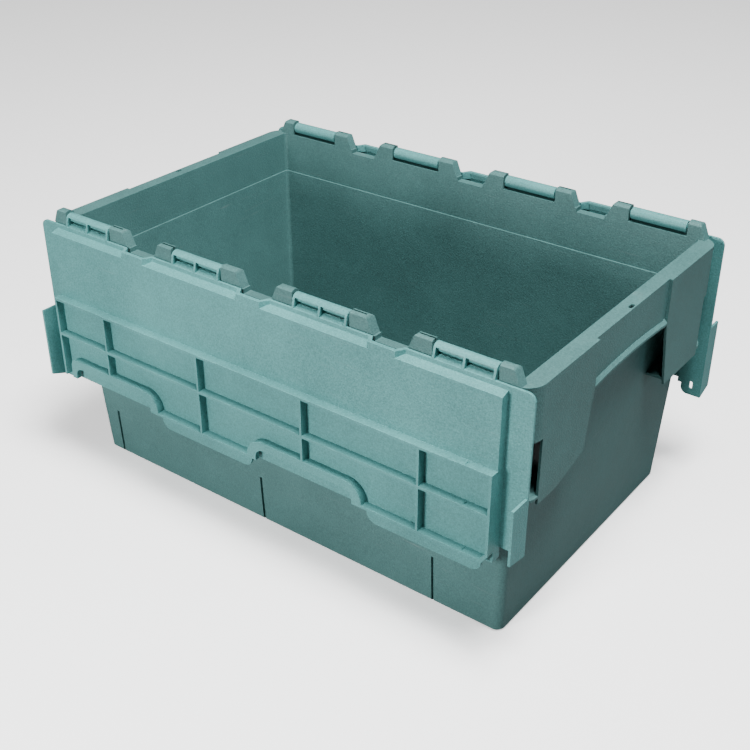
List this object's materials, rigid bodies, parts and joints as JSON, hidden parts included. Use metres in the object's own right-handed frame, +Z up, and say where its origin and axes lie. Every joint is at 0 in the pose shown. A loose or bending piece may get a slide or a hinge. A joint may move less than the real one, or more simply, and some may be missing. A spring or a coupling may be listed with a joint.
{
  "type": "attached lid tote",
  "caption": "Open moulded tote with tapered walls, deep rim skirt and two hinged half lids with interlocking wavy edges, both hanging open.",
  "frame": {"origin": "middle of the base, on the floor", "axes": "+X along the long side, to the right of a viewer facing the front lid; +Y from the front lid to the rear lid; +Z up"},
  "size_m": [0.6, 0.427, 0.3024],
  "materials": {
    "tub_plastic": "grey-green moulded plastic with a fine satin grain",
    "lid_plastic": "grey-green moulded plastic with a fine satin grain",
    "pin_plastic": "plain pale grey-green plastic rod"
  },
  "bodies": {
    "container": {"container_body": "tub_plastic", "hinge_pin_front_1": "pin_plastic", "hinge_pin_front_2": "pin_plastic", "hinge_pin_front_3": "pin_plastic", "hinge_pin_front_4": "pin_plastic", "hinge_pin_rear_1": "pin_plastic", "hinge_pin_rear_2": "pin_plastic", "hinge_pin_rear_3": "pin_plastic", "hinge_pin_rear_4": "pin_plastic"},
    "front_lid": {"lid_front": "lid_plastic"},
    "rear_lid": {"lid_rear": "lid_plastic"}
  },
  "joints": [
    {"name": "lid_front_hinge", "type": "hinge", "parent": "container", "child": "front_lid", "pos_m": [0, -0.183, 0.294], "axis": [-1, 0, 0], "range_deg": [0, 270]},
    {"name": "lid_rear_hinge", "type": "hinge", "parent": "container", "child": "rear_lid", "pos_m": [0, 0.183, 0.294], "axis": [1, 0, 0], "range_deg": [0, 270]}
  ]
}
